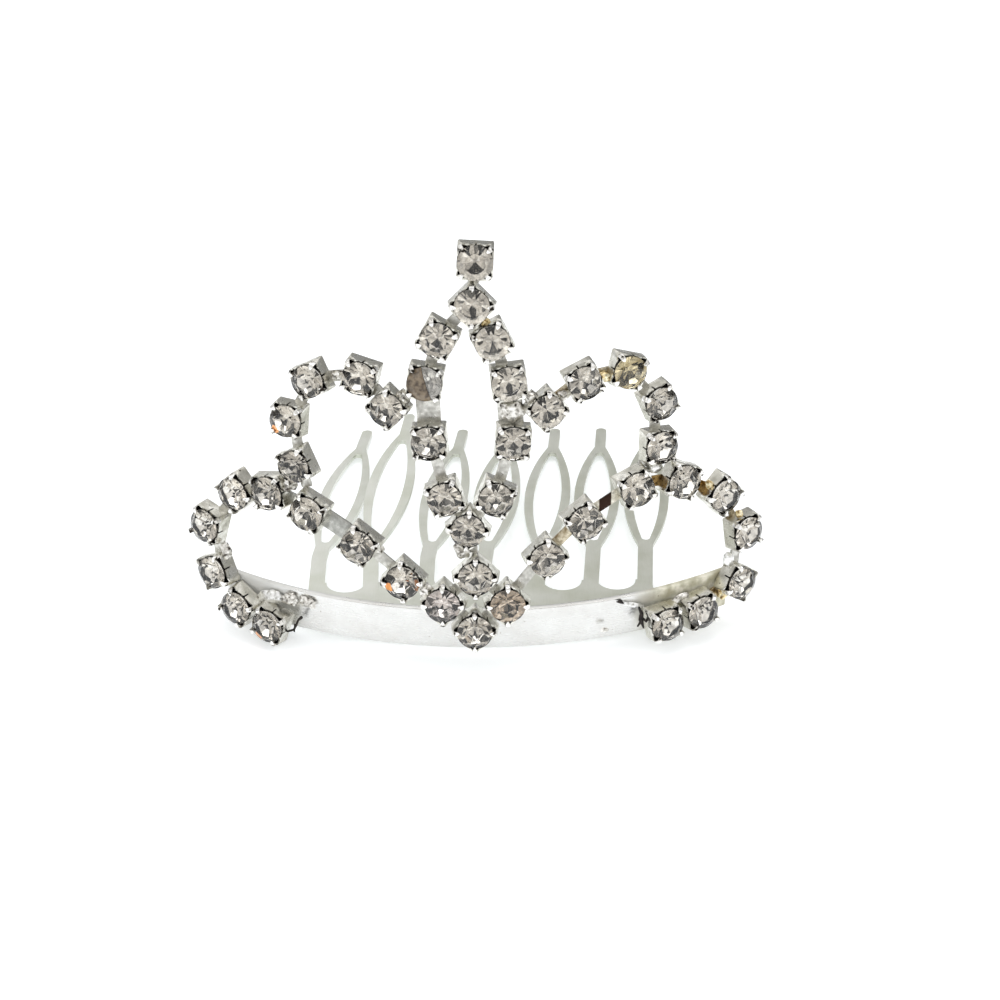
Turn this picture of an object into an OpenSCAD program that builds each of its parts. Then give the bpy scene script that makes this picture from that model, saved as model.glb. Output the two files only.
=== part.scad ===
// A small tiara on a hair comb: a curved flat band, an openwork of stone-set
// cups soldered on its front, and a seven-toothed comb of sheet metal behind it.
// X runs along the band, Y from the front to the teeth's tips, Z up.

/* [Band] */
// Radius of the band's front face, seen from above
face_r = 48.5; // [40:0.5:60]
// Height of the band
band_h = 4.6; // [3:0.1:6]
// Thickness of the band's metal
band_t = 0.6; // [0.4:0.05:1]
// Half of the angle that the band sweeps
band_half_angle = 32; // [26:0.5:36]
// Height of the band's foot above the table, where the lowest cups stand
foot_rise = 1.17; // [1:0.01:1.4]
// Lean of the openwork, back over the band's top edge
lean = 11; // [6:0.5:14]

/* [Comb] */
// Number of teeth
teeth = 7; // [3:1:9]
// Distance between neighbouring teeth
tooth_pitch = 5.6; // [5.5:0.1:6.5]
// Length of a tooth from the bottom of the gaps to its tip
tooth_len = 38.1; // [32:0.1:42]
// Thickness of the comb's sheet
comb_t = 0.5; // [0.3:0.05:0.8]
// Height of the sheet's upper face above the band's foot, where the two are soldered
comb_up = 2.4; // [1.6:0.1:3.2]
// Turn of the whole comb behind the band
comb_turn = 1.2; // [0:0.1:3]
// Lean of the teeth to the right, away from square with the spine
tooth_lean = 5.8; // [0:0.1:8]
// How far the stems of the teeth on the left are bent outward
tooth_bow = 1; // [0:0.1:1.4]

/* [Cups and stones] */
// Outside width of a cup in the top drop and the pointed oval
marquise_cup = 3.35; // [3:0.05:3.6]
// Outside width of a cup in the two arches
arch_cup = 3.25; // [3:0.05:3.5]
// Outside width of a cup in the two scrolls
scroll_cup = 3.45; // [3:0.05:3.5]
// Outside width of a cup in the cluster of four
cluster_cup = 3.5; // [3:0.05:3.6]
// Depth of a cup from its back to its rim
cup_h = 1.7; // [1.4:0.05:2]
// Thickness of a cup's floor and walls
cup_t = 0.16; // [0.12:0.02:0.2]
// Width of the strip that links two cups
link_w = 1.1; // [0.8:0.1:1.6]

/* [Hidden] */
// Gap that is left at each solder joint between two pieces
solder_gap = 0.04;
// Room between the band's front and the backs of the cups
back_gap = 0.15;
// Distance from the band's front to the origin, which lies under the middle
origin_back = 21.02;

// Columns of the tables of cups: places on the unrolled front, and the turn of the square
OUT = 0;
UP = 1;
TURN = 2;

// Top drop, then down the left side, the foot of the oval, and up the right side
MARQUISE = [
    [0.1, 40.1, -3],
    [-0.2, 36.0, 45],
    [-3.3, 32.8, 60],
    [-4.5, 28.6, 82],
    [-4.2, 22.7, 94],
    [-2.8, 17.1, 112],
    [-0.7, 13.9, 40],
    [1.9, 17.1, 66],
    [3.5, 22.7, 86],
    [3.1, 28.6, 97],
    [1.6, 32.6, 118],
];
// Top, left, foot and right of the cluster
CLUSTER = [
    [0.0, 8.9, 45],
    [-3.1, 6.0, 45],
    [-0.1, 3.2, 45],
    [3.0, 6.0, 45],
];
// From the stem up and over to the pointed oval
ARCH_LEFT = [
    [-17.2, 19.3, 115],
    [-17.8, 23.9, 84],
    [-15.4, 28.1, 25],
    [-10.5, 28.8, -15],
    [-8.0, 25.9, -45],
];
ARCH_RIGHT = [
    [17.6, 21.2, 90],
    [17.4, 25.7, 115],
    [14.2, 29.1, 165],
    [10.0, 28.4, 205],
    [6.6, 25.8, 222],
];
// From the band's end round the scroll and down the stem to the cluster
SCROLL_LEFT = [
    [-20.9, 1.6, 160],
    [-24.5, 2.9, 145],
    [-27.2, 6.2, 112],
    [-27.8, 11.2, 72],
    [-24.0, 15.4, 40],
    [-20.2, 16.1, 8],
    [-16.1, 14.6, -27],
    [-11.1, 11.7, -36],
    [-6.9, 8.3, -42],
];
SCROLL_RIGHT = [
    [18.9, 2.2, 8],
    [22.8, 2.8, 12],
    [27.3, 5.0, 60],
    [27.8, 10.4, 100],
    [24.8, 15.0, 134],
    [20.1, 17.3, 160],
    [15.3, 17.2, 203],
    [10.3, 14.3, 217],
    [6.7, 10.7, 224],
];

CHAINS = [
    ["marquise", MARQUISE, marquise_cup],
    ["cluster", CLUSTER, cluster_cup],
    ["arch_left", ARCH_LEFT, arch_cup],
    ["arch_right", ARCH_RIGHT, arch_cup],
    ["scroll_left", SCROLL_LEFT, scroll_cup],
    ["scroll_right", SCROLL_RIGHT, scroll_cup],
];
STONES = [for (c = CHAINS) for (i = [1:len(c[1])]) [str("stone_", c[0], "_", i), c[1][i - 1], c[2]]];

// Angle round the band of a place on the unrolled front
function round_the_band(out) = out / face_r * 180 / PI;

// Direction from one cup to another on the unrolled front
function heading(from, to) = atan2(to[UP] - from[UP], to[OUT] - from[OUT]);

// From a square's middle to its edge, in a given direction
function reach(width, turn, direction) =
    width / 2 / max(abs(cos(direction - turn)), abs(sin(direction - turn)));

// From a cup's middle to where a strip that comes in a given direction would touch it, on a
// side or on the flat that cuts a corner
function touch(width, turn, direction) =
    let (off = abs((direction - turn + 405) % 90 - 45))
    min((width / 2 + link_w / 2 * sin(off)) / cos(off),
        (width * corner_cut + link_w / 2 * sin(45 - off)) / cos(45 - off));

// Stands its children on the curved front, facing out; the front leans back over the
// band's top edge
module on_front(place) {
    translate([0, -origin_back, foot_rise + band_h])
        rotate([-lean, 0, 0])
            translate([0, face_r, -band_h])
                rotate([0, 0, round_the_band(place[OUT])])
                    translate([0, -face_r - back_gap, place[UP]])
                        rotate([90, 0, 0])
                            rotate([0, 0, place[TURN]])
                                children();
}

module band() {
    color("whitesmoke")
        translate([0, face_r - origin_back, foot_rise])
            rotate([0, 0, -90 - band_half_angle])
                rotate_extrude(angle = 2 * band_half_angle, $fn = 180)
                    translate([face_r - band_t, 0])
                        square([band_t, band_h]);
}

// Pointed oval: where two circles overlap
module pointed_oval(half_len, half_width) {
    r = (half_len * half_len + half_width * half_width) / (2 * half_width);
    intersection() {
        translate([r - half_width, 0]) circle(r, $fn = 180);
        translate([half_width - r, 0]) circle(r, $fn = 180);
    }
}

// The same with its points cut back to round ends
module round_ended_oval(half_len, half_width, end_r) {
    r = (half_len * half_len + half_width * half_width) / (2 * half_width);
    end = sqrt(r * r - pow(r - half_width + end_r, 2));
    intersection() {
        pointed_oval(half_len, half_width);
        translate([-half_width, -end]) square([2 * half_width, 2 * end]);
    }
    for (side = [-1, 1]) translate([0, side * end]) circle(end_r, $fn = 32);
}

// Widths of a tooth's stem, of its blunt tip and of the two legs round its eye
stem_w = 1.6;
tip_w = 1.25;
leg_w = 1;
// The eye's outline, measured on the tooth
eye_mid = 0.55 * tooth_len;
eye_half_len = 13.8;
eye_half_width = 2.55;
// How much shorter the eye's hole is than its outline at each end, and how round it ends
eye_shoulder = 1.8;
eye_end_r = 0.45;

eye_foot = eye_mid - eye_half_len;
// How far stem and tip run into the eye's outline
neck = 3;

// Stands the eye and the tip on a stem that is bent aside, with the tip left in its place
module on_stem(bow) {
    translate([-bow, eye_foot])
        rotate(-asin(bow / (tooth_len - eye_foot)))
            translate([0, -eye_foot])
                children();
}

// One tooth, from the bottom of the gaps at y = 0: a stem, an open eye and a blunt tip
module tooth(bow) {
    eye_top = eye_mid + eye_half_len;
    difference() {
        union() {
            polygon([
                [-stem_w / 2, -neck / 2],
                [stem_w / 2, -neck / 2],
                [stem_w / 2 - bow, eye_foot],
                [stem_w / 2 - bow, eye_foot + neck],
                [-stem_w / 2 - bow, eye_foot + neck],
                [-stem_w / 2 - bow, eye_foot],
            ]);
            on_stem(bow) {
                translate([0, eye_mid]) pointed_oval(eye_half_len, eye_half_width);
                translate([-tip_w / 2, eye_top - neck]) square([tip_w, tooth_len - tip_w / 2 - eye_top + neck]);
                translate([0, tooth_len - tip_w / 2]) circle(d = tip_w, $fn = 48);
            }
        }
        on_stem(bow) translate([0, eye_mid])
            round_ended_oval(eye_half_len - eye_shoulder, eye_half_width - leg_w, eye_end_r);
    }
}

// The spine: its front and back edges behind the band's front, and how far it passes the
// outer teeth; the gaps between the teeth have round ends
spine_front = 3.8;
spine_back = 6.8;
spine_over = 0.1;
gap_r = (tooth_pitch - stem_w) / 2;
comb_aside = 0.6;
first_tooth = -(teeth - 1) / 2 * tooth_pitch;
// How much further back the turn of the comb takes its rearmost tip
turned_reach = 0.24;
// Slope of the sheet, from the band down to the tips that touch the table
comb_slope = asin((foot_rise + comb_up - comb_t) / (spine_back - spine_front + tooth_len + turned_reach));

// How far the first teeth have been bent in use, aside to the left and up, in degrees
ASIDE = 0;
RAISED = 1;
TOOTH_BENDS = [
    [0.6, 0],
    [1.2, 3.3],
];

function tooth_bend(i) = i < len(TOOTH_BENDS) ? TOOTH_BENDS[i] : [0, 0];

// A tooth's outline, from its place on the spine's back edge
module placed_tooth(i) {
    rotate(tooth_bend(i)[ASIDE] - tooth_lean)
        tooth(tooth_bow * max(0, min(1, teeth / 4 - i / 2)));
}

// The spine and the teeth that lie in its plane
module flat_outline() {
    comb_w = (teeth - 1) * tooth_pitch + stem_w + 2 * spine_over;
    difference() {
        translate([-comb_w / 2, spine_front]) square([comb_w, spine_back + gap_r - spine_front]);
        for (i = [0:teeth - 2])
            translate([first_tooth + (i + 0.5) * tooth_pitch, spine_back + gap_r])
                circle(gap_r, $fn = 96);
    }
    for (i = [0:teeth - 1])
        if (tooth_bend(i)[RAISED] == 0)
            translate([first_tooth + i * tooth_pitch, spine_back]) placed_tooth(i);
}

module comb() {
    color([0.8, 0.81, 0.77])
        translate([0, spine_front - origin_back, foot_rise + comb_up - comb_t])
            rotate([-comb_slope, 0, 0])
                translate([0, -spine_front, 0]) {
                    linear_extrude(comb_t)
                        intersection() {
                            translate([comb_aside, 0]) rotate(comb_turn) flat_outline();
                            // The spine's corners follow the inside of the band
                            translate([0, face_r]) circle(face_r - band_t - 2 * solder_gap, $fn = 180);
                        }
                    for (i = [0:teeth - 1])
                        if (tooth_bend(i)[RAISED] > 0)
                            translate([comb_aside, 0, 0])
                                rotate(comb_turn)
                                    translate([first_tooth + i * tooth_pitch, spine_back, 0])
                                        rotate([tooth_bend(i)[RAISED], 0, 0])
                                            linear_extrude(comb_t) placed_tooth(i);
                }
}

// From a cup's middle to the flats that cut its corners, as a share of its width
corner_cut = 0.635;
claw_w = 0.5;

// Profile of a claw in the plane through a cup's corner: distance from the middle, and
// height, from its root inside the corner up and in over the stone's edge
function claw_profile(width) = [
    [width * 0.6, cup_h - 0.5],
    [width * corner_cut, cup_h - 0.5],
    [width * 0.645, cup_h + 0.12],
    [width * 0.585, cup_h + 0.5],
    [width * 0.455, cup_h + 0.62],
    [width * 0.445, cup_h + 0.46],
    [width * 0.54, cup_h + 0.32],
    [width * 0.575, cup_h + 0.12],
];

// A square with its corners cut, in from a cup's outline by some way
module cup_outline(width, in = 0) {
    intersection() {
        square(width - 2 * in, center = true);
        rotate(45) square(2 * (width * corner_cut - in), center = true);
    }
}

// A square cup with a claw folded in at each corner
module cup(width) {
    difference() {
        linear_extrude(cup_h) cup_outline(width);
        translate([0, 0, cup_t]) linear_extrude(cup_h) cup_outline(width, cup_t);
    }
    for (corner = [45:90:315])
        rotate([0, 0, corner])
            rotate([90, 0, 0])
                translate([0, 0, -claw_w / 2])
                    linear_extrude(claw_w) polygon(claw_profile(width));
}

link_t = 0.3;
link_seat = 0.3;

// The strip that ties one cup to the next: it runs from inside the first to the second's
// wall and into it, or stops short of it
module link(from, to, from_w, to_w, stops_short = false) {
    direction = heading(from, to);
    near_edge = reach(from_w, from[TURN], direction) - link_seat;
    far_edge = norm([to[OUT] - from[OUT], to[UP] - from[UP]])
        - (stops_short ? touch(to_w, to[TURN], direction) + solder_gap
                       : reach(to_w, to[TURN], direction) - link_seat);
    middle = (near_edge + far_edge) / 2;
    place = [from[OUT] + middle * cos(direction), from[UP] + middle * sin(direction), direction];
    on_front(place)
        translate([-(far_edge - near_edge) / 2, -link_w / 2, 0.01])
            cube([far_edge - near_edge, link_w, link_t]);
}

module chain(cups, width) {
    for (c = cups) on_front(c) cup(width);
    for (i = [0:len(cups) - 2]) link(cups[i], cups[i + 1], width, width);
}

module marquise() {
    color("silver") {
        chain(MARQUISE, marquise_cup);
        link(MARQUISE[10], MARQUISE[1], marquise_cup, marquise_cup);
        link(MARQUISE[6], CLUSTER[0], marquise_cup, cluster_cup, true);
    }
}

module cluster() {
    color("silver") {
        chain(CLUSTER, cluster_cup);
        link(CLUSTER[3], CLUSTER[0], cluster_cup, cluster_cup);
    }
}

module arch_left() {
    color("silver") {
        chain(ARCH_LEFT, arch_cup);
        link(ARCH_LEFT[0], SCROLL_LEFT[6], arch_cup, scroll_cup, true);
        link(ARCH_LEFT[4], MARQUISE[3], arch_cup, marquise_cup, true);
    }
}

module arch_right() {
    color("silver") {
        chain(ARCH_RIGHT, arch_cup);
        link(ARCH_RIGHT[0], SCROLL_RIGHT[6], arch_cup, scroll_cup, true);
        link(ARCH_RIGHT[4], MARQUISE[9], arch_cup, marquise_cup, true);
    }
}

module scroll_left() {
    color("silver") {
        chain(SCROLL_LEFT, scroll_cup);
        link(SCROLL_LEFT[8], CLUSTER[1], scroll_cup, cluster_cup, true);
    }
}

module scroll_right() {
    color("silver") {
        chain(SCROLL_RIGHT, scroll_cup);
        link(SCROLL_RIGHT[8], CLUSTER[3], scroll_cup, cluster_cup, true);
    }
}

// Columns of the rings of corners of a cut stone: radius, height, first angle, corners
RADIUS = 0;
HEIGHT = 1;
START = 2;
COUNT = 3;

function ring(r) = [for (i = [0:r[COUNT] - 1])
    [r[RADIUS] * cos(r[START] + i * 360 / r[COUNT]), r[RADIUS] * sin(r[START] + i * 360 / r[COUNT]), r[HEIGHT]]];

// A cut stone with its table up: eight-sided table, stars, kites and girdle facets,
// and a pointed pavilion below, seated on the rim of a cup of the given width
module stone(width) {
    r = width * 0.49;
    rim = cup_h + 0.15;
    table_r = r * 0.58;
    crown = r * 0.3;
    crown_slope = crown / (r - table_r);
    star_r = r * 0.8;
    lower_r = r * 0.42;
    depth = r * 0.78;
    rings = [
        [table_r, rim + crown + 0.08, 0, 8],
        [star_r, rim + 0.08 + crown - (star_r * cos(22.5) - table_r) * crown_slope, 22.5, 8],
        [r, rim + 0.08, 0, 16],
        [r, rim, 0, 16],
        [lower_r, rim - depth * (1 - lower_r * cos(22.5) / r), 22.5, 8],
        [0, rim - depth, 0, 1],
    ];
    table = 0;
    star = 8;
    girdle = 16;
    foot = 32;
    lower = 48;
    point = 56;
    faces = concat(
        [[for (i = [7:-1:0]) table + i]],
        [for (i = [0:7]) [table + i, table + (i + 1) % 8, star + i]],
        [for (i = [0:7]) [table + i, star + i, girdle + 2 * i]],
        [for (i = [0:7]) [table + i, girdle + 2 * i, star + (i + 7) % 8]],
        [for (i = [0:7]) [star + i, girdle + 2 * i + 1, girdle + 2 * i]],
        [for (i = [0:7]) [star + i, girdle + (2 * i + 2) % 16, girdle + 2 * i + 1]],
        [for (i = [0:15]) [girdle + i, girdle + (i + 1) % 16, foot + (i + 1) % 16]],
        [for (i = [0:15]) [girdle + i, foot + (i + 1) % 16, foot + i]],
        [for (i = [0:7]) [foot + 2 * i, foot + 2 * i + 1, lower + i]],
        [for (i = [0:7]) [foot + 2 * i + 1, foot + (2 * i + 2) % 16, lower + i]],
        [for (i = [0:7]) [foot + 2 * i, lower + i, point]],
        [for (i = [0:7]) [foot + 2 * i, point, lower + (i + 7) % 8]]
    );
    color([0.86, 0.85, 0.83])
        polyhedron(points = [for (r = rings) each ring(r)], faces = faces, convexity = 2);
}

band();
comb();
marquise();
cluster();
arch_left();
arch_right();
scroll_left();
scroll_right();
for (s = STONES) on_front(s[1]) stone(s[2]);
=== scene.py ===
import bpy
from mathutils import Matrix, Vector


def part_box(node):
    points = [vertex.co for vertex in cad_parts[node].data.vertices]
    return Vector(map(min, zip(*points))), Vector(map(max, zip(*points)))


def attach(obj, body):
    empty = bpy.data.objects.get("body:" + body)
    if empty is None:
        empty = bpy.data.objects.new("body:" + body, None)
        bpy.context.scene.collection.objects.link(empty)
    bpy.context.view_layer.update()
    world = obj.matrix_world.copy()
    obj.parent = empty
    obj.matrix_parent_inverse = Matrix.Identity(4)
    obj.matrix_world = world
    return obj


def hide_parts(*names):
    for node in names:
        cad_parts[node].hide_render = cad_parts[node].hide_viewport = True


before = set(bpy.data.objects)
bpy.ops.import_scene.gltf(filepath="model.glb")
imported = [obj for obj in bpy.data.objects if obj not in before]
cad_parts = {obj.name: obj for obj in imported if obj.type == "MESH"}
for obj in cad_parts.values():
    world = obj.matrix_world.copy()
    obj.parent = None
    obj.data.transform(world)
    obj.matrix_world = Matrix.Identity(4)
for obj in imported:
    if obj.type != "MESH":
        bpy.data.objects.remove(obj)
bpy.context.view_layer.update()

import math
import random

import bmesh
import bpy
from mathutils import Matrix, Vector, noise

MM = 0.001

# Band and front, as in the frame
band_low, band_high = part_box("band")
foot_rise = band_low.z / MM
origin_back = -band_low.y / MM
band_h = (band_high.z - band_low.z) / MM
face_r = 48.5
band_t = 0.6
band_half_angle = math.radians(32)
lean = math.radians(11)
back_gap = 0.15

# Cups
cup_h = 1.7
cup_t = 0.16
cup_floor = 0.18
# Flats that cut the cup's corners: their distance out at the rim as a share of the width,
# and their slope; how far the rim dips beside its tabs, and how far from the middle
corner_cut = 0.638
corner_slope = math.radians(84.5)
rim_dip = 0.2
dip_from = 0.4
slit_w = 0.15
slit_h = 0.85
claw_w = 0.56
claw_t = 0.13
link_w = 1.1
link_t = 0.32
link_seat = 0.3

# Each chain: width of its cups, and for each cup its place on the unrolled front,
# out from the middle and up from the band's foot, and the turn of its square
CHAINS = {
    "marquise": (3.35, [
        (0.1, 40.1, -3), (-0.2, 36.0, 45), (-3.3, 32.8, 60), (-4.5, 28.6, 82),
        (-4.2, 22.7, 94), (-2.8, 17.1, 112), (-0.7, 13.9, 40), (1.9, 17.1, 66),
        (3.5, 22.7, 86), (3.1, 28.6, 97), (1.6, 32.6, 118),
    ]),
    "cluster": (3.5, [
        (0.0, 8.9, 45), (-3.1, 6.0, 45), (-0.1, 3.2, 45), (3.0, 6.0, 45),
    ]),
    "arch_left": (3.25, [
        (-17.2, 19.3, 115), (-17.8, 23.9, 84), (-15.4, 28.1, 25), (-10.5, 28.8, -15),
        (-8.0, 25.9, -45),
    ]),
    "arch_right": (3.25, [
        (17.6, 21.2, 90), (17.4, 25.7, 115), (14.2, 29.1, 165), (10.0, 28.4, 205),
        (6.6, 25.8, 222),
    ]),
    "scroll_left": (3.45, [
        (-20.9, 1.65, 160), (-24.5, 2.9, 145), (-27.2, 6.2, 112), (-27.8, 11.2, 72),
        (-24.0, 15.4, 40), (-20.2, 16.1, 8), (-16.1, 14.6, -27), (-11.1, 11.7, -36),
        (-6.9, 8.3, -42),
    ]),
    "scroll_right": (3.45, [
        (18.9, 2.2, 8), (22.8, 2.8, 12), (27.3, 5.0, 60), (27.8, 10.4, 100),
        (24.8, 15.0, 134), (20.1, 17.3, 160), (15.3, 17.2, 203), (10.3, 14.3, 217),
        (6.7, 10.7, 224),
    ]),
}
# Links besides those from cup to cup down each chain: chain and cup, chain and cup
CROSS_LINKS = [
    ("marquise", 10, "marquise", 1), ("marquise", 6, "cluster", 0), ("cluster", 3, "cluster", 0),
    ("arch_left", 0, "scroll_left", 6), ("arch_left", 4, "marquise", 3),
    ("arch_right", 0, "scroll_right", 6), ("arch_right", 4, "marquise", 9),
    ("scroll_left", 8, "cluster", 1), ("scroll_right", 8, "cluster", 3),
]
# Links that are wide flat pads, with their width
PADS = {("marquise", 3): 2.3, ("marquise", 8): 2.4, ("scroll_left", 6): 1.9}
# Links whose plating has worn to brass, burnt ones, those gone dark brown with a painted shade at one end,
# and those left dull
BRASSY = {("arch_right", 2), ("arch_right", 3),
          ("scroll_right", 1), ("scroll_right", 3), ("scroll_right", 7)}
BURNT = {("scroll_right", 4), ("scroll_right", 5)}
BROWNED = {("scroll_right", 6)}
DULLED = {("scroll_left", 6), ("scroll_left", 5)}

# Lumps of solder on the front, rough, smooth or gilded: out, up, height off the band,
# half length, half width, half thickness and turn
ROUGH_SOLDER = [
    (-19.1, 4.2, 0.1, 0.8, 0.6, 0.35, -10),
    (-17.3, 4.2, 0.0, 0.9, 0.55, 0.3, -12),
    (-9.4, 11.3, 0.6, 0.6, 0.5, 0.4, -30),
    (12.9, 1.8, 0.06, 0.4, 0.25, 0.1, 0),
    (20.9, 4.2, 0.4, 0.9, 0.4, 0.35, 15),
    (-26.1, 8.4, 0.7, 0.6, 0.9, 0.5, 10),
    (-1.3, 11.6, 0.8, 0.7, 0.9, 0.6, 20),
    (3.5, 25.6, 0.45, 1.1, 0.9, 0.42, 0),
    (-6.6, 26.9, 0.8, 0.8, 0.7, 0.6, 40),
    (5.2, 26.9, 0.8, 0.7, 0.6, 0.6, -40),
    (-18.3, 17.1, 0.8, 0.8, 0.8, 0.6, 0),
    (-4.9, 7.3, 0.8, 0.8, 0.6, 0.6, -40),
    (8.3, 27.0, 0.6, 0.6, 0.5, 0.5, 30),
    (-12.9, 28.6, 0.6, 0.6, 0.5, 0.45, 0),
    (-0.1, 34.3, 0.6, 0.6, 0.5, 0.5, 0),
]
SMOOTH_SOLDER = [
    (-21.3, 4.1, 0.1, 1.5, 0.7, 0.4, 6),
    (15.9, 4.1, 0.0, 1.2, 0.3, 0.2, -14),
    (17.4, 18.9, 0.7, 0.8, 0.6, 0.5, 0),
    (26.3, 7.4, 0.7, 0.6, 0.8, 0.5, 0),
]
GOLD_SOLDER = [
    (25.6, 4.0, 0.9, 0.55, 0.6, 0.6, 35),
    (26.9, 12.5, 1.3, 0.42, 0.42, 0.4, 0),
    (23.4, 16.2, 1.0, 0.4, 0.6, 0.45, 30),
    (12.0, 28.6, 0.9, 0.45, 0.6, 0.5, 70),
    (1.0, 34.3, 0.9, 0.42, 0.42, 0.4, 0),
]

# Stones that aren't the plain warm grey
TINTS = {
    "stone_marquise_4": "pale_silver",
    "stone_arch_right_3": "dull_olive",
    "stone_cluster_4": "dull_brown",
    "stone_cluster_2": "faint_lilac",
}
# Directions from the middle of a stone's front facet painted orange, a painted glint, in degrees from the
# right
ORANGE_GLINTS = {"stone_arch_left_2": 207, "stone_scroll_left_9": 200, "stone_scroll_left_1": 241}
# Stones cut in two by a plane, given by a point and its facing; the left half is brown
HALVED = {"stone_marquise_4": ((-4.9, 0, 31.3), (1, 0, 0.3))}
# Slopes of the facets on the stones' backs, as they vary from stone to stone, in degrees
POINTS = (40.0, 41.5, 43.0)


# Placing


def on_front(out, up, turn=0.0, height=0.0):
    """From a cup's own space to the diadem's, both in millimetres."""
    leaned = Matrix.Translation((0, -origin_back, foot_rise + band_h)) @ Matrix.Rotation(-lean, 4, "X")
    round_the_band = Matrix.Translation((0, face_r, -band_h)) @ Matrix.Rotation(out / face_r, 4, "Z")
    standing = Matrix.Translation((0, -face_r - back_gap, up)) @ Matrix.Rotation(math.pi / 2, 4, "X")
    turned = Matrix.Rotation(math.radians(turn), 4, "Z") @ Matrix.Translation((0, 0, height))
    return leaned @ round_the_band @ standing @ turned


def reach(width, turn, direction):
    """From a square's middle to its edge in a given direction, in degrees."""
    off = math.radians(direction - turn)
    return width / 2 / max(abs(math.cos(off)), abs(math.sin(off)))


# Finishes


def new_finish(name, values):
    """A material whose shader has these values; its tree and shader."""
    made = bpy.data.materials.new(name)
    made.use_nodes = True
    shader = made.node_tree.nodes["Principled BSDF"]
    for socket, value in values.items():
        shader.inputs[socket].default_value = value
    return made, made.node_tree, shader


def mottle(tree, size, detail=4.0, stretch=(1, 1, 1)):
    """Noise on the piece itself, with patches of about this size in millimetres."""
    place = tree.nodes.new("ShaderNodeTexCoord")
    stretched = tree.nodes.new("ShaderNodeMapping")
    stretched.inputs["Scale"].default_value = stretch
    patches = tree.nodes.new("ShaderNodeTexNoise")
    patches.inputs["Scale"].default_value = 1 / (size * MM)
    patches.inputs["Detail"].default_value = detail
    tree.links.new(place.outputs["Object"], stretched.inputs["Vector"])
    tree.links.new(stretched.outputs["Vector"], patches.inputs["Vector"])
    return patches.outputs["Fac"]


def ramp(tree, factor, stops):
    """Colours along a factor, from a list of (position, colour)."""
    made = tree.nodes.new("ShaderNodeValToRGB")
    while len(made.color_ramp.elements) < len(stops):
        made.color_ramp.elements.new(1.0)
    for element, (position, colour) in zip(made.color_ramp.elements, stops):
        element.position = position
        element.color = (*colour, 1) if len(colour) == 3 else colour
    tree.links.new(factor, made.inputs["Fac"])
    return made.outputs["Color"]


def drive(tree, shader, socket, factor, stops):
    """Sets a socket of the shader by a ramp along a factor."""
    tree.links.new(ramp(tree, factor, stops), shader.inputs[socket])


def grey(value):
    return (value, value, value)


def mix(tree, factor, first, second):
    made = tree.nodes.new("ShaderNodeMix")
    made.data_type = "RGBA"
    tree.links.new(factor, made.inputs["Factor"])
    for socket, value in ((6, first), (7, second)):
        if isinstance(value, tuple):
            made.inputs[socket].default_value = (*value, 1)
        else:
            tree.links.new(value, made.inputs[socket])
    return made.outputs[2]


def along(tree, axis, start, end):
    """0 before start and 1 past end, in millimetres along an axis of the diadem."""
    place = tree.nodes.new("ShaderNodeTexCoord")
    parts = tree.nodes.new("ShaderNodeSeparateXYZ")
    spread = tree.nodes.new("ShaderNodeMapRange")
    spread.inputs["From Min"].default_value = start * MM
    spread.inputs["From Max"].default_value = end * MM
    tree.links.new(place.outputs["Object"], parts.inputs["Vector"])
    tree.links.new(parts.outputs[axis], spread.inputs["Value"])
    return spread.outputs["Result"]


def times(tree, first, second):
    made = tree.nodes.new("ShaderNodeMath")
    made.operation = "MULTIPLY"
    tree.links.new(first, made.inputs[0])
    tree.links.new(second, made.inputs[1])
    return made.outputs["Value"]


def skin(tree, shader, height_of, depth):
    """Bumps of this depth, in millimetres."""
    made = tree.nodes.new("ShaderNodeBump")
    made.inputs["Distance"].default_value = depth * MM
    tree.links.new(height_of, made.inputs["Height"])
    tree.links.new(made.outputs["Normal"], shader.inputs["Normal"])


def silver_plate():
    """Plating of the cups' walls, greyed and a little warm, with dull patches and black pits."""
    made, tree, shader = new_finish("silver_plate", {"Metallic": 1.0, "Roughness": 0.2})
    patches = mottle(tree, 1.1)
    pits = mottle(tree, 0.35, detail=2.0)
    clean = ramp(tree, patches, [
        (0.3, (0.47, 0.455, 0.40)), (0.5, (0.67, 0.655, 0.59)), (0.68, (0.83, 0.815, 0.765))])
    pitted = ramp(tree, pits, [(0.68, grey(0.0)), (0.75, grey(1.0))])
    colour = mix(tree, pitted, clean, (0.07, 0.055, 0.045))
    tree.links.new(colour, shader.inputs["Base Color"])
    drive(tree, shader, "Roughness", patches, [(0.3, grey(0.38)), (0.65, grey(0.18))])
    skin(tree, shader, mottle(tree, 0.4, detail=5.0), 0.012)
    return made


def claw_plate():
    """Claws rubbed bright on their backs, with black patches: painted shade and painted dark reflections at
    their gaps.
    """
    made, tree, shader = new_finish("claw_plate", {"Metallic": 1.0, "Roughness": 0.2})
    patches = mottle(tree, 0.55, detail=2.0)
    # The black stop is painted shade and painted dark reflection
    drive(tree, shader, "Base Color", patches, [
        (0.36, (0.03, 0.025, 0.02)), (0.42, (0.66, 0.64, 0.60)), (0.55, (0.97, 0.96, 0.94))])
    drive(tree, shader, "Roughness", patches, [(0.38, grey(0.6)), (0.5, grey(0.24))])
    skin(tree, shader, mottle(tree, 0.3, detail=4.0), 0.01)
    return made


def shade_dirt_inside():
    """The cups' insides, near black all round the stones: painted shade in the hollows round the stones, with
    dirt.
    """
    made, tree, shader = new_finish("shade_dirt_inside", {"Metallic": 0.5, "Roughness": 0.7})
    drive(tree, shader, "Base Color", mottle(tree, 0.25), [(0.4, grey(0.006)), (0.7, (0.05, 0.04, 0.03))])
    return made


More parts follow.
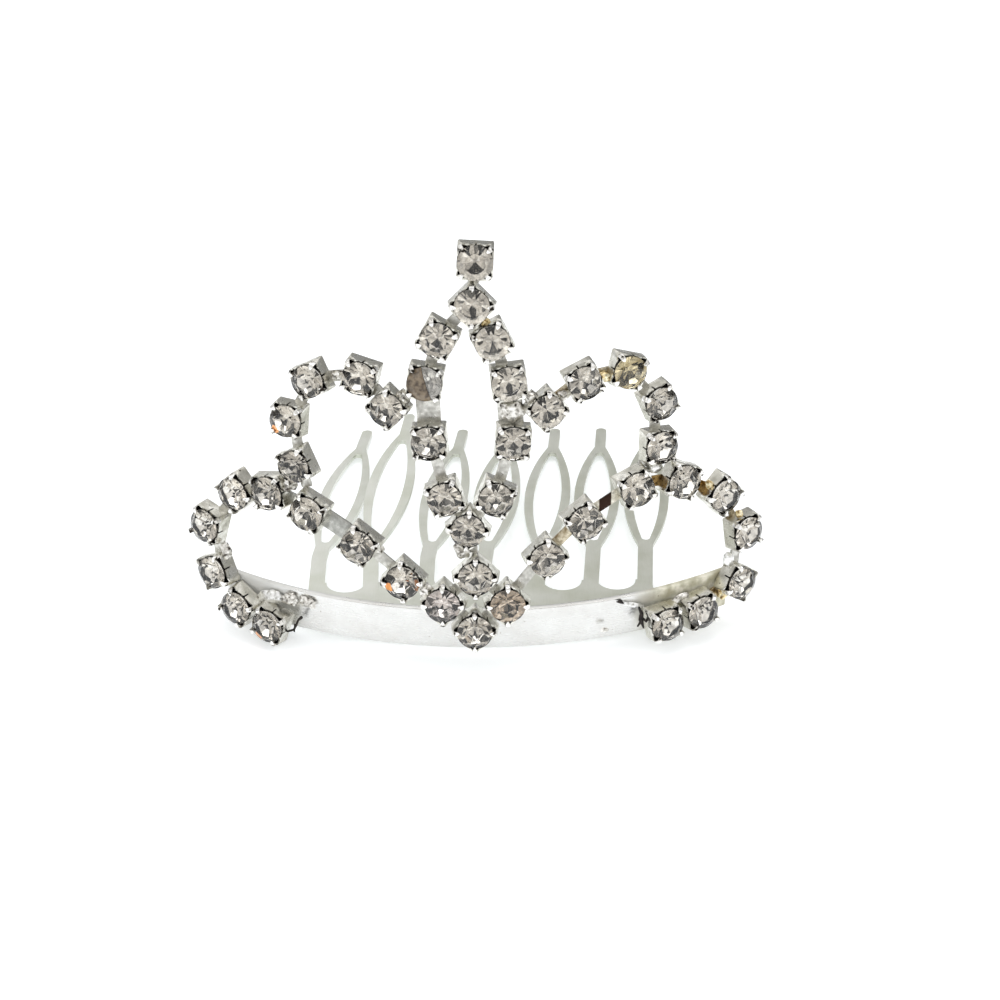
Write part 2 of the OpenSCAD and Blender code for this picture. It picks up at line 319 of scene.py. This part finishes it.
def worn_link(name, dull, bright, darkest=None):
    """Plating that has worn or darkened. Its darkest part, painted shade beside a cup with tarnish, has a
    colour, a start and an end on X.
    """
    made, tree, shader = new_finish(name, {"Metallic": 1.0, "Roughness": 0.3})
    patches = mottle(tree, 0.5)
    colour = ramp(tree, patches, [(0.35, dull), (0.62, bright)])
    if darkest:
        dark, start, end = darkest
        fade = 0.08
        inside = times(tree, along(tree, "X", start - fade, start), along(tree, "X", end + fade, end))
        colour = mix(tree, inside, colour, dark)
    tree.links.new(colour, shader.inputs["Base Color"])
    drive(tree, shader, "Roughness", patches, [(0.3, grey(0.45)), (0.7, grey(0.2))])
    skin(tree, shader, mottle(tree, 0.3, detail=6.0), 0.02)
    return made


def band_plate():
    """Pale band: fine scratches and brown specks, smooth grey high on its left end as a painted shade,
    and yellowed with olive and dull patches at its right."""
    made, tree, shader = new_finish("band_plate", {"Metallic": 0.9, "Roughness": 0.28})
    clouds = mottle(tree, 3.0)
    pale = ramp(tree, clouds, [(0.3, (0.72, 0.71, 0.69)), (0.65, (0.79, 0.79, 0.775))])
    tarnish = ramp(tree, mottle(tree, 1.4, detail=6.0), [
        (0.36, (0.44, 0.41, 0.29)), (0.5, (0.60, 0.58, 0.46)), (0.64, (0.84, 0.81, 0.70))])
    right_end = along(tree, "X", 15.5, 19.0)
    yellowed = mix(tree, right_end, pale, tarnish)
    shaded_dull_left_end = times(tree, along(tree, "X", -18.5, -21.0), along(tree, "Z", foot_rise + 2.5, foot_rise + 4.0))
    # Smooth grey high on the left end: painted shade
    greyed = mix(tree, shaded_dull_left_end, yellowed, (0.66, 0.66, 0.64))
    specks = ramp(tree, mottle(tree, 0.45, detail=3.0), [(0.72, grey(0.0)), (0.77, grey(1.0))])
    tree.links.new(mix(tree, specks, greyed, (0.26, 0.21, 0.15)), shader.inputs["Base Color"])
    dull = mix(tree, shaded_dull_left_end, mix(tree, right_end, grey(0.0), grey(1.0)), grey(1.0))
    scratches = mottle(tree, 0.25, detail=3.0, stretch=(0.12, 0.12, 1.0))
    worn = ramp(tree, scratches, [(0.35, grey(0.36)), (0.7, grey(0.2))])
    tree.links.new(mix(tree, dull, worn, grey(0.6)), shader.inputs["Roughness"])
    tree.links.new(mix(tree, dull, grey(0.92), grey(0.45)), shader.inputs["Metallic"])
    skin(tree, shader, scratches, 0.006)
    return made


def comb_sheet():
    """Matt pale sheet, brushed along the teeth, a little green in the dull patches, darker towards the right
    as a painted shade.
    """
    made, tree, shader = new_finish("comb_sheet", {"Metallic": 0.85, "Roughness": 0.5})
    clouds = mottle(tree, 4.0)
    left = ramp(tree, clouds, [(0.3, (0.69, 0.71, 0.63)), (0.6, (0.78, 0.79, 0.74))])
    right = ramp(tree, clouds, [(0.3, (0.51, 0.52, 0.44)), (0.6, (0.61, 0.62, 0.56))])
    # Darker towards the right: painted shade
    tree.links.new(mix(tree, along(tree, "X", -19.0, 19.0), left, right), shader.inputs["Base Color"])
    brushing = mottle(tree, 0.16, detail=3.0, stretch=(1.0, 0.06, 1.0))
    drive(tree, shader, "Roughness", brushing, [(0.3, grey(0.56)), (0.7, grey(0.40))])
    skin(tree, shader, brushing, 0.008)
    return made


def solder_metal(name, hollows, dull, bright, depth):
    """Solder, with flux in its hollows."""
    made, tree, shader = new_finish(name, {"Metallic": 1.0, "Roughness": 0.3})
    grains = mottle(tree, 0.4, detail=6.0)
    drive(tree, shader, "Base Color", grains, [(0.34, hollows), (0.44, dull), (0.6, bright)])
    skin(tree, shader, grains, depth)
    return made


# Near black: painted shade for the dark lines beside the lowest cups
def painted_shade_wire():
    made, tree, shader = new_finish("painted_shade_wire", {"Metallic": 0.6, "Roughness": 0.5})
    drive(tree, shader, "Base Color", mottle(tree, 0.2), [(0.4, grey(0.008)), (0.7, (0.05, 0.04, 0.035))])
    return made


def cut_glass(name, tint):
    """Clear glass of a stone's front."""
    made, tree, shader = new_finish(name, {
        "Roughness": 0.0, "IOR": 1.56, "Transmission Weight": 1.0, "Base Color": (*tint, 1)})
    drive(tree, shader, "Roughness", mottle(tree, 0.5, detail=2.0), [(0.45, grey(0.0)), (0.8, grey(0.05))])
    return made


def foil(name, tint, roughness):
    """Foil on a stone's back, with a little tarnish."""
    made, tree, shader = new_finish(name, {"Metallic": 1.0, "Roughness": roughness})
    darker = tuple(part * 0.62 for part in tint)
    drive(tree, shader, "Base Color", mottle(tree, 0.8, detail=3.0), [(0.35, darker), (0.6, tint)])
    return made


def brown_lacquer():
    """Brown that covers one half of a stone."""
    made, tree, shader = new_finish("brown_lacquer", {"Roughness": 0.14})
    drive(tree, shader, "Base Color", mottle(tree, 0.5), [
        (0.38, (0.055, 0.038, 0.024)), (0.62, (0.20, 0.155, 0.105))])
    return made


def floor_card():
    """White card under the diadem, over-exposed with a slight glow so that it shows no shadows."""
    made, tree, shader = new_finish("floor_card", {
        "Roughness": 0.9, "Emission Color": (0.96, 0.98, 1.0, 1), "Emission Strength": 0.22})
    drive(tree, shader, "Base Color", mottle(tree, 60.0, detail=2.0), [
        (0.3, (0.91, 0.93, 0.95)), (0.7, (0.93, 0.95, 0.97))])
    return made


# Shapes

# Angle between two faces, in radians, over which their edge is rounded
SHARP = 1.0
# Places of a chain's finishes
PLATE, LINK, BRASS, BURN, BROWN, DULL, INSIDE, CLAW = range(8)
WORN = {BRASS: BRASSY, BURN: BURNT, BROWN: BROWNED, DULL: DULLED}


def as_mesh(shape, name):
    made = bpy.data.meshes.new(name)
    shape.to_mesh(made)
    shape.free()
    return made


def put(into, pattern, place):
    """Adds a copy of a pattern's mesh at a place."""
    copy = pattern.copy()
    copy.transform(place)
    into.from_mesh(copy)
    bpy.data.meshes.remove(copy)


def finished(name, shape, finishes, nodes=(), smooth_below=40):
    """Makes a piece of a shape: scales it, gives it its finishes and sets it on the body."""
    shape.transform(Matrix.Scale(MM, 4))
    mesh = as_mesh(shape, name)
    for finish in finishes:
        mesh.materials.append(finish)
    if smooth_below:
        mesh.shade_smooth()
        mesh.set_sharp_from_angle(angle=math.radians(smooth_below))
    piece = bpy.data.objects.new(name, mesh)
    bpy.context.scene.collection.objects.link(piece)
    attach(piece, "root")
    if nodes:
        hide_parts(*nodes)
    return piece


def soften(shape, edges, offset, segments=2):
    bmesh.ops.bevel(shape, geom=edges, offset=offset, offset_type="OFFSET", segments=segments,
                    profile=0.5, affect="EDGES", material=-1, clamp_overlap=True)


def split(shape, at, facing):
    """Cuts the faces that a plane crosses in two."""
    everything = shape.verts[:] + shape.edges[:] + shape.faces[:]
    bmesh.ops.bisect_plane(shape, geom=everything, dist=1e-5, plane_co=at, plane_no=facing)


def cup_body(width):
    """A square cup, open at the front. Flats that lean out to the back cut its corners, its rim
    rises in two tabs on each side, and a slit parts them."""
    shape = bmesh.new()
    size = Matrix.Diagonal((width, width, cup_h, 1))
    bmesh.ops.create_cube(shape, size=1.0, matrix=Matrix.Translation((0, 0, cup_h / 2)) @ size)
    facet_ring(shape, 4, math.pi / 4, corner_slope, width * corner_cut, cup_h)
    upright = [e for e in shape.edges if abs(e.verts[0].co.z - e.verts[1].co.z) > cup_h / 2]
    soften(shape, upright, 0.1)
    mouth = max(shape.faces, key=lambda face: face.calc_center_median().z)
    bmesh.ops.inset_individual(shape, faces=[mouth], thickness=cup_t, depth=0.0)
    walls = bmesh.ops.inset_individual(shape, faces=[mouth], thickness=0.02, depth=cup_floor - cup_h)
    # The inner walls and floor take the near-black inside finish: painted shade, with dirt
    for face in walls["faces"] + [mouth]:
        face.material_index = INSIDE
    for axis in (Vector((1, 0, 0)), Vector((0, 1, 0))):
        for share in (-0.32, -0.2, -0.1, 0.1, 0.2, 0.32):
            split(shape, axis * width * share, axis)
        for side in (-slit_w / 2, slit_w / 2):
            split(shape, axis * side, axis)
    split(shape, Vector((0, 0, cup_h - slit_h)), Vector((0, 0, 1)))
    slit = []
    for face in shape.faces:
        middle = face.calc_center_median()
        if middle.z > cup_h - slit_h and min(abs(middle.x), abs(middle.y)) < slit_w / 2:
            slit.append(face)
    bmesh.ops.delete(shape, geom=slit, context="FACES")
    for quarter in range(4):
        out = Vector((math.cos(quarter * math.pi / 2), math.sin(quarter * math.pi / 2), 0))
        cheeks = [e for e in shape.edges if e.is_boundary
                  and min(v.co.dot(out) for v in e.verts) > width / 4
                  and min(v.co.z for v in e.verts) < cup_h - 0.001]
        bmesh.ops.bridge_loops(shape, edges=cheeks)
    for v in shape.verts:
        if v.co.z > cup_h - 0.001:
            along_side = min(abs(v.co.x), abs(v.co.y)) / width
            v.co.z -= rim_dip * (1 - math.sin(math.pi * min(1.0, along_side / dip_from)))
    rim = [e for e in shape.edges if min(v.co.z for v in e.verts) > cup_h - rim_dip - 0.05
           and e.calc_length() > 0.03 and e.calc_face_angle(0.0) > SHARP]
    soften(shape, rim, 0.03, segments=1)
    # A black ring that rises round the stone: painted shade of the gap between rim and stone, with dirt
    ring_up = Matrix.Translation((0, 0, cup_h + 0.075))
    ring = bmesh.ops.create_cone(shape, cap_ends=False, segments=32, radius1=width * 0.475,
                                 radius2=width * 0.497, depth=0.25, matrix=ring_up)
    for v in ring["verts"]:
        for face in v.link_faces:
            face.material_index = INSIDE
    return as_mesh(shape, "cup_body")


def curve_at(points, t):
    """Point at t on the Bezier curve of four points."""
    a, b, c, d = (Vector(p) for p in points)
    s = 1 - t
    return a * s ** 3 + b * 3 * s * s * t + c * 3 * s * t * t + d * t ** 3


def claw(width):
    """A tab that rises at a cup's corner and folds in over the stone, in the X, Z plane."""
    profile = [(width * 0.612, cup_h - 0.75), (width * 0.645, cup_h + 0.28),
               (width * 0.625, cup_h + 0.68), (width * 0.43, cup_h + 0.50)]
    blunt_from = 0.72
    shape = bmesh.new()
    bmesh.ops.create_grid(shape, x_segments=4, y_segments=9, size=0.5)
    half = max(v.co.x for v in shape.verts)
    for v in shape.verts:
        rise = (v.co.y / half + 1) / 2
        across = v.co.x / half
        past = max(0.0, rise - blunt_from) / (1 - blunt_from)
        roundness = math.sqrt(max(0.0, 1 - past ** 2 * 0.94))
        place = curve_at(profile, rise)
        belly = 0.06 * (1 - across * across)
        aside = across * claw_w / 2 * (1 - 0.25 * rise) * roundness
        v.co = (place.x + belly * (1 - rise), aside, place.y)
    bmesh.ops.solidify(shape, geom=shape.faces[:], thickness=claw_t)
    bmesh.ops.recalc_face_normals(shape, faces=shape.faces[:])
    rim = [e for e in shape.edges if e.calc_face_angle(0.0) > SHARP]
    soften(shape, rim, 0.035, segments=1)
    for face in shape.faces:
        face.material_index = CLAW
    return as_mesh(shape, "claw")


def strip(length, width, thickness):
    """A flat link with soft edges, along X from its middle, on the plane z = 0."""
    shape = bmesh.new()
    size = Matrix.Diagonal((length, width, thickness, 1))
    bmesh.ops.create_cube(shape, size=1.0, matrix=Matrix.Translation((0, 0, thickness / 2)) @ size)
    bmesh.ops.subdivide_edges(shape, edges=shape.edges[:], cuts=2, use_grid_fill=True)
    sharp = [e for e in shape.edges if e.calc_face_angle(0.0) > SHARP]
    soften(shape, sharp, 0.07)
    return as_mesh(shape, "strip")


def lump(half_sizes, roughness, seed):
    """A bead of solder: a ball, roughened by coarse and fine waves and then stretched."""
    shape = bmesh.new()
    bmesh.ops.create_icosphere(shape, subdivisions=3, radius=1.0)
    shift = Vector((seed * 7.3, seed * 3.1, seed * 5.7))
    for v in shape.verts:
        waves = noise.noise(v.co * 1.4 + shift) + noise.noise(v.co * 3.4 + shift) / 2
        v.co *= 1 + roughness * waves
        v.co = Vector(part * half for part, half in zip(v.co, half_sizes))
    return as_mesh(shape, "lump")


def grind(shape, at, facing, floor=0):
    """Cuts away what lies beyond a plane and closes the flat that it leaves, in a finish's place."""
    everything = shape.verts[:] + shape.edges[:] + shape.faces[:]
    bmesh.ops.bisect_plane(shape, geom=everything, dist=1e-6, plane_co=at, plane_no=facing, clear_outer=True)
    open_edges = [e for e in shape.edges if e.is_boundary]
    if open_edges:
        for face in bmesh.ops.holes_fill(shape, edges=open_edges)["faces"]:
            face.material_index = floor


def facet_ring(shape, count, start, tilt, distance, height, below=False):
    """Grinds a ring of flats: tilt is from the level, and each passes the given distance out."""
    for i in range(count):
        angle = start + i * 2 * math.pi / count
        out = Vector((math.cos(angle), math.sin(angle), 0))
        facing = out * math.sin(tilt) + Vector((0, 0, -1 if below else 1)) * math.cos(tilt)
        grind(shape, out * distance + Vector((0, 0, height)), facing)


def cut_stone(width, back):
    """A stone with its girdle round the origin: table, eight kites, halves, and a point whose
    eight facets slope by an angle."""
    r = width * 0.49
    girdle = 0.04
    table_r = r * 0.56
    crown_h = r * 0.3
    kite = math.atan(crown_h / (r - table_r))
    eighth = math.pi / 8
    shape = bmesh.new()
    bmesh.ops.create_cone(shape, cap_ends=True, cap_tris=False, segments=48, radius1=r, radius2=r,
                          depth=2 * r + 1)
    facet_ring(shape, 8, 0, kite, r, girdle)
    facet_ring(shape, 8, eighth, kite + math.radians(5), r, girdle)
    grind(shape, Vector((0, 0, girdle + crown_h)), Vector((0, 0, 1)))
    facet_ring(shape, 8, eighth, back, r, -girdle, below=True)
    bmesh.ops.remove_doubles(shape, verts=shape.verts[:], dist=0.004)
    bmesh.ops.dissolve_limit(shape, angle_limit=0.002, verts=shape.verts[:], edges=shape.edges[:])
    bmesh.ops.recalc_face_normals(shape, faces=shape.faces[:])
    for face in shape.faces:
        face.material_index = 1 if face.normal.z < -0.2 else 0
    return as_mesh(shape, "cut_stone")


# Pieces


def chain_piece(name, finishes):
    """Cups, claws and links of one chain."""
    width, cups = CHAINS[name]
    body = cup_body(width)
    tab = claw(width)
    shape = bmesh.new()
    for out, up, turn in cups:
        put(shape, body, on_front(out, up, turn))
        for corner in range(4):
            put(shape, tab, on_front(out, up, turn + 45 + 90 * corner))
    links = [(name, i, name, i + 1) for i in range(len(cups) - 1)]
    links += [link for link in CROSS_LINKS if link[0] == name]
    for first, i, second, j in links:
        from_width, from_cups = CHAINS[first]
        to_width, to_cups = CHAINS[second]
        start, end = from_cups[i], to_cups[j]
        run = Vector((end[0] - start[0], end[1] - start[1]))
        direction = math.degrees(math.atan2(run.y, run.x))
        near = reach(from_width, start[2], direction) - link_seat
        far = run.length - reach(to_width, end[2], direction) + (link_seat if first == second else 0.0)
        middle = run.normalized() * (near + far) / 2
        tag = (first, i)
        pattern = strip(far - near, PADS.get(tag, link_w), link_t)
        own = next((place for place, tags in WORN.items() if tag in tags), LINK)
        for face in pattern.polygons:
            face.material_index = own
        put(shape, pattern, on_front(start[0] + middle.x, start[1] + middle.y, direction, 0.02))
    return finished(name + "_cups", shape, finishes, [name], smooth_below=35)


def stone_pieces(patterns, glasses, foils, orange_glint, lacquer):
    """Every stone, each turned and tipped a little by its own amount. Some have a front facet
    painted orange as a glint, and one is half lacquered."""
    spread = random.Random(43)
    most_tip = 2.5
    girdle_up = cup_h + 0.19
    for chain, (width, cups) in CHAINS.items():
        for i, (out, up, turn) in enumerate(cups):
            node = "stone_%s_%d" % (chain, i + 1)
            tip = Matrix.Rotation(math.radians(spread.uniform(-most_tip, most_tip)), 4, "X")
            tip = tip @ Matrix.Rotation(math.radians(spread.uniform(-most_tip, most_tip)), 4, "Y")
            shape = bmesh.new()
            place = on_front(out, up, turn + spread.uniform(0, 45), girdle_up)
            put(shape, patterns[width, spread.choice(POINTS)], place @ tip)
            tint = TINTS.get(node, "warm_grey")
            finishes = [glasses[tint], foils[tint]]
            if node in ORANGE_GLINTS:
                finishes.append(orange_glint)
                aim = math.radians(ORANGE_GLINTS[node])
                way = Vector((math.cos(aim), math.sin(aim), 0))
                spot = on_front(out, up, 0, cup_h + 0.4) @ (way * width * 0.36)
                front = [face for face in shape.faces if face.material_index == 0 and face.calc_area() > 0.1]
                nearest = min(front, key=lambda face: (face.calc_center_median() - spot).length)
                nearest.material_index = 2
            if node in HALVED:
                finishes.append(lacquer)
                at, facing = (Vector(given) for given in HALVED[node])
                brown = shape.copy()
                parting = 0.04
                grind(shape, at, -facing, floor=1)
                grind(brown, at - facing * parting, facing, floor=1)
                for face in brown.faces:
                    face.material_index = 2
                put(shape, as_mesh(brown, "brown"), Matrix.Identity(4))
            finished("cut_" + node, shape, finishes, [node], smooth_below=0)


def band_piece(plate):
    """The band: its strip's section carried round the middle, with worn round edges."""
    shape = bmesh.new()
    bmesh.ops.create_grid(shape, x_segments=1, y_segments=6, size=0.5)
    middle = Vector((0, face_r - origin_back, foot_rise + band_h / 2))
    start = Matrix.Rotation(-math.pi / 2 - band_half_angle, 4, "Z")
    half = max(v.co.x for v in shape.verts)
    for v in shape.verts:
        section = Vector((face_r - band_t / 2 + v.co.x / half * band_t / 2, 0, v.co.y / half * band_h / 2))
        v.co = middle + start @ section
    whole = shape.verts[:] + shape.edges[:] + shape.faces[:]
    bmesh.ops.spin(shape, geom=whole, cent=middle, axis=(0, 0, 1), angle=2 * band_half_angle, steps=120,
                   use_merge=False, use_duplicate=False)
    bmesh.ops.recalc_face_normals(shape, faces=shape.faces[:])
    sharp = [e for e in shape.edges if e.calc_face_angle(0.0) > SHARP]
    soften(shape, sharp, 0.13, segments=3)
    for v in shape.verts:
        wave = noise.noise(Vector((v.co.x * 0.35, 0, v.co.z * 0.5)))
        away = Vector((v.co.x - middle.x, v.co.y - middle.y, 0)).normalized()
        v.co -= away * 0.03 * (1 + wave)
    return finished("band_strip", shape, [plate], ["band"])


def comb_piece(sheet):
    """The comb's sheet, taken from the frame, with its stamped edges rolled soft."""
    shape = bmesh.new()
    shape.from_mesh(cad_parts["comb"].data)
    shape.transform(Matrix.Scale(1 / MM, 4))
    bmesh.ops.remove_doubles(shape, verts=shape.verts[:], dist=0.0005)
    bmesh.ops.dissolve_limit(shape, angle_limit=math.radians(1), verts=shape.verts[:], edges=shape.edges[:])
    piece = finished("comb_sheet", shape, [sheet], ["comb"], smooth_below=30)
    rolled = piece.modifiers.new("rolled_edges", "BEVEL")
    rolled.width = 0.09 * MM
    rolled.segments = 2
    rolled.limit_method = "ANGLE"
    rolled.angle_limit = math.radians(50)
    return piece


def solder_piece(name, lumps, roughness, metal):
    shape = bmesh.new()
    for i, (out, up, height, length, width, thickness, turn) in enumerate(lumps):
        put(shape, lump((length, width, thickness), roughness, i), on_front(out, up, turn, height))
    return finished(name, shape, [metal])


def shade_line_piece(metal):
    """Two short bent black lines beside the lowest cups, painted shade along the cups' lower edges and
    corners with a link's cut end, and a black spur at the solder, made as tubes along bends on the front:
    out, up, height off the band and the wire's radius there."""
    bends = [
        [(14.1, 4.75, 0.08, 0.05), (14.5, 4.75, 0.12, 0.22), (14.8, 4.5, 0.1, 0.08)],
        [(-19.9, 1.0, 0.7, 0.07), (-19.2, 0.95, 0.7, 0.11), (-18.6, 1.2, 0.6, 0.12), (-18.35, 1.7, 0.5, 0.12),
         (-18.2, 2.2, 0.35, 0.11), (-17.9, 2.5, 0.2, 0.17)],
        [(-18.5, 1.75, 0.5, 0.1), (-18.6, 0.95, 0.5, 0.08)],
        [(16.5, 3.8, 0.15, 0.12), (16.7, 3.2, 0.35, 0.2), (16.6, 2.6, 0.45, 0.26), (16.8, 2.0, 0.45, 0.14),
         (16.9, 1.7, 0.45, 0.1)],
        [(16.7, 2.8, 0.45, 0.14), (17.2, 2.3, 0.5, 0.11), (18.0, 2.0, 0.6, 0.1)],
        [(16.6, 2.4, 0.45, 0.14), (16.3, 1.9, 0.4, 0.09)],
    ]
    shape = bmesh.new()
    for bend in bends:
        points = [(on_front(out, up) @ Vector((0, 0, height)), thick) for out, up, height, thick in bend]
        for (start, start_r), (end, end_r) in zip(points, points[1:]):
            way = end - start
            aim = way.to_track_quat("Z", "Y").to_matrix().to_4x4()
            bmesh.ops.create_cone(shape, cap_ends=True, segments=12, radius1=start_r, radius2=end_r,
                                  depth=way.length, matrix=Matrix.Translation((start + end) / 2) @ aim)
        for point, thick in points:
            bmesh.ops.create_icosphere(shape, subdivisions=2, radius=thick * 1.02,
                                       matrix=Matrix.Translation(point))
    return finished("painted_shade_hooks", shape, [metal])


# Stage


def facing_diadem(at):
    """The turn with which a thing at this place looks at the diadem."""
    return (Vector((0, 0, 0.015)) - Vector(at)).to_track_quat("-Z", "Y")


def floor_piece():
    shape = bmesh.new()
    bmesh.ops.create_grid(shape, x_segments=1, y_segments=1, size=2.0)
    mesh = as_mesh(shape, "floor")
    mesh.materials.append(floor_card())
    floor = bpy.data.objects.new("floor", mesh)
    bpy.context.scene.collection.objects.link(floor)


def soft_box(name, at, size, power):
    """A square lamp that looks at the diadem."""
    lamp = bpy.data.lights.new(name, "AREA")
    lamp.shape = "RECTANGLE"
    lamp.size, lamp.size_y = size
    lamp.energy = power
    stand = bpy.data.objects.new(name, lamp)
    stand.location = at
    stand.rotation_euler = facing_diadem(at).to_euler()
    bpy.context.scene.collection.objects.link(stand)


def dark_card(name, at, size, tone=0.004):
    """A black or grey card, which is seen only in the stones and the metal."""
    shape = bmesh.new()
    bmesh.ops.create_grid(shape, x_segments=1, y_segments=1, size=0.5)
    aim = facing_diadem(at).to_matrix().to_4x4()
    shape.transform(Matrix.Translation(at) @ aim @ Matrix.Diagonal((*size, 1, 1)))
    mesh = as_mesh(shape, name)
    mesh.materials.append(new_finish(name, {"Base Color": (*grey(tone), 1), "Roughness": 1.0})[0])
    card = bpy.data.objects.new(name, mesh)
    card.visible_camera = False
    card.visible_diffuse = False
    card.visible_shadow = False
    bpy.context.scene.collection.objects.link(card)


def sky(strength):
    world = bpy.data.worlds.new("studio")
    world.use_nodes = True
    world.node_tree.nodes["Background"].inputs["Color"].default_value = (1.0, 0.995, 0.98, 1)
    world.node_tree.nodes["Background"].inputs["Strength"].default_value = strength
    bpy.context.scene.world = world


def photo_camera():
    """Looks down on the diadem as the photograph does."""
    lens = bpy.data.cameras.new("photo_camera")
    lens.lens = 63
    lens.sensor_width = 36
    lens.clip_start = 0.005
    camera = bpy.data.objects.new("photo_camera", lens)
    degrees_down = 32.5
    from_foot = Vector((2.36, -139.63, 106.53))
    camera.location = (from_foot + Vector((0, -origin_back, foot_rise))) * MM
    camera.rotation_euler = (math.radians(90 - degrees_down), 0, 0)
    bpy.context.scene.collection.objects.link(camera)
    bpy.context.scene.camera = camera


chain_finishes = [
    silver_plate(),
    worn_link("link_plate", (0.40, 0.39, 0.36), (0.62, 0.61, 0.57)),
    worn_link("worn_brass", (0.24, 0.18, 0.10), (0.62, 0.56, 0.43)),
    worn_link("burnt_brass", (0.03, 0.013, 0.005), (0.42, 0.27, 0.10)),
    # Near black between X 12.0 and 13.1, next to the cup: painted shade, with tarnish
    worn_link("browned_plate", (0.42, 0.38, 0.30), (0.72, 0.69, 0.60),
              darkest=((0.035, 0.02, 0.015), 12.0, 13.1)),
    worn_link("dull_plate", (0.30, 0.30, 0.28), (0.46, 0.46, 0.43)),
    shade_dirt_inside(),
    claw_plate(),
]
for chain_name in CHAINS:
    chain_piece(chain_name, chain_finishes)

# Colour of a stone's glass, colour of its foil, and the foil's roughness
tints = {
    "warm_grey": ((0.985, 0.98, 0.965), (0.90, 0.87, 0.82), 0.06),
    "dull_olive": ((0.97, 0.95, 0.85), (0.86, 0.80, 0.66), 0.06),
    "dull_brown": ((0.975, 0.945, 0.90), (0.85, 0.78, 0.70), 0.06),
    "faint_lilac": ((0.98, 0.965, 0.965), (0.90, 0.86, 0.83), 0.06),
    "pale_silver": ((0.99, 0.985, 0.975), (0.97, 0.96, 0.94), 0.2),
}
stone_pieces(
    {(width, slope): cut_stone(width, math.radians(slope))
     for width in sorted({row[0] for row in CHAINS.values()}) for slope in POINTS},
    {name: cut_glass("glass_" + name, glass) for name, (glass, _, _) in tints.items()},
    {name: foil("foil_" + name, back, roughness) for name, (_, back, roughness) in tints.items()},
    # Orange foil on one front facet: a painted glint
    foil("painted_orange_glint", (1.0, 0.42, 0.14), 0.03),
    brown_lacquer(),
)
band_piece(band_plate())
comb_piece(comb_sheet())
solder_piece("rough_solder", ROUGH_SOLDER, 0.5, solder_metal(
    "rough_solder", (0.05, 0.04, 0.035), (0.50, 0.48, 0.44), (0.90, 0.88, 0.84), 0.06))
solder_piece("smooth_solder", SMOOTH_SOLDER, 0.3, solder_metal(
    "smooth_solder", (0.42, 0.41, 0.38), (0.76, 0.76, 0.74), (0.95, 0.95, 0.94), 0.02))
solder_piece("gold_solder", GOLD_SOLDER, 0.4, solder_metal(
    "gold_solder", (0.14, 0.07, 0.03), (0.72, 0.56, 0.28), (0.95, 0.88, 0.66), 0.03))
shade_line_piece(painted_shade_wire())

floor_piece()
sky(0.86)
soft_box("overhead", (0.0, 0.08, 0.55), (0.42, 0.28), 0.7)
soft_box("left", (-0.45, -0.20, 0.30), (0.20, 0.28), 0.15)
soft_box("right", (0.45, -0.12, 0.35), (0.20, 0.28), 0.15)
soft_box("front", (0.0, -0.62, 0.42), (0.50, 0.20), 1.2)
soft_box("back", (0.0, 0.75, 0.45), (0.90, 0.40), 0.3)
dark_card("behind_camera", (0.0, -0.42, 0.27), (0.22, 0.24))
dark_card("round_camera", (0.0, -0.45, 0.289), (0.46, 0.26), 0.14)
dark_card("back_grey", (0.11, 0.25, 0.05), (0.40, 0.24), 0.22)
dark_card("near_right", (0.09, 0.08, 0.02), (0.20, 0.045), 0.28)
dark_card("near_left", (-0.09, 0.08, 0.02), (0.16, 0.045), 0.5)
dark_card("left_grey", (-0.50, -0.05, 0.16), (0.30, 0.20), 0.28)
dark_card("right_grey", (0.50, 0.05, 0.22), (0.24, 0.30), 0.28)
photo_camera()
bpy.context.scene.view_settings.view_transform = "Standard"
